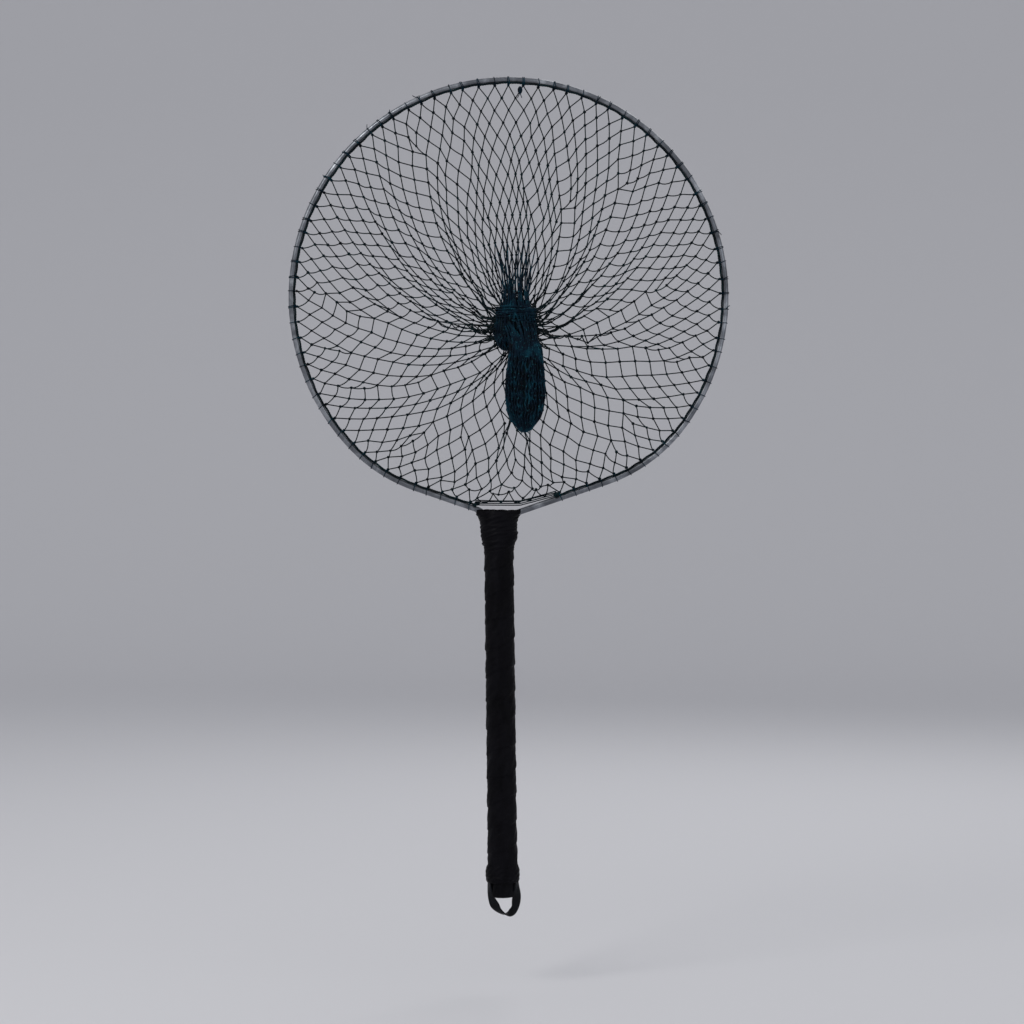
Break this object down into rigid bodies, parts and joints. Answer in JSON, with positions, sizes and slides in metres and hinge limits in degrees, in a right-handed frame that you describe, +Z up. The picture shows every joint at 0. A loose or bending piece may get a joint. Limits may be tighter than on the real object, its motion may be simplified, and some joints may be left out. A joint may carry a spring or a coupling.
{
  "type": "hand-held pool skimmer net",
  "caption": "Round hand net on a short taped handle: rod hoop, knotted twine bag tied off in a hanging tail, and a strap loop at the butt.",
  "frame": {"origin": "the underside of the hoop's rod at its top, where a peg or nail bears", "axes": "+Z up towards the hoop's top with the handle hanging down, hoop in the XZ plane, bag and tail on the -Y side, seen from -Y"},
  "size_m": [0.4428, 0.0751, 0.8414],
  "materials": {
    "rod": "dull galvanised grey with bright rubbed streaks",
    "core_wood": "bare turned wood, hidden",
    "binding_wire": "dull wire, hidden",
    "tape": "near black wound tape, matte with a faint sheen",
    "cap_rubber": "near black, matte, lightly creased",
    "strap": "blue-black soft strap with a low sheen",
    "tack": "dull steel, hidden",
    "dark_twine": "near black teal twine",
    "teal_twine": "dark teal twine with lighter glints"
  },
  "bodies": {
    "net": {"hoop_rod": "rod", "handle_core": "core_wood", "splice_wire": "binding_wire", "collar_tape": "tape", "grip_tape": "tape", "butt_band": "tape", "butt_cap": "cap_rubber", "strap_legs": "strap", "strap_tacks": "tack", "rim_line": "dark_twine", "throat_strands": "dark_twine", "rim_lashings": "teal_twine", "top_knot": "teal_twine", "throat_knots": "teal_twine", "net_webbing": "dark_twine", "gather_knot": "teal_twine", "knot_turn": "teal_twine"},
    "neck": {"tail_neck": "teal_twine"},
    "tail": {"bag_tail": "teal_twine"},
    "strap": {"strap_loop": "strap"}
  },
  "joints": [
    {"name": "tail_sway", "type": "hinge", "parent": "net", "child": "neck", "pos_m": [0.0165, -0.048, -0.266], "axis": [0, 1, 0], "range_deg": [-35, 35]},
    {"name": "tail_lift", "type": "hinge", "parent": "neck", "child": "tail", "pos_m": [0.0165, -0.048, -0.266], "axis": [1, 0, 0], "range_deg": [-80, 10]},
    {"name": "strap_swing", "type": "hinge", "parent": "net", "child": "strap", "pos_m": [-0.00558, 0, -0.81578], "axis": [0.9999, 0, 0.0105], "range_deg": [-75, 75]}
  ]
}
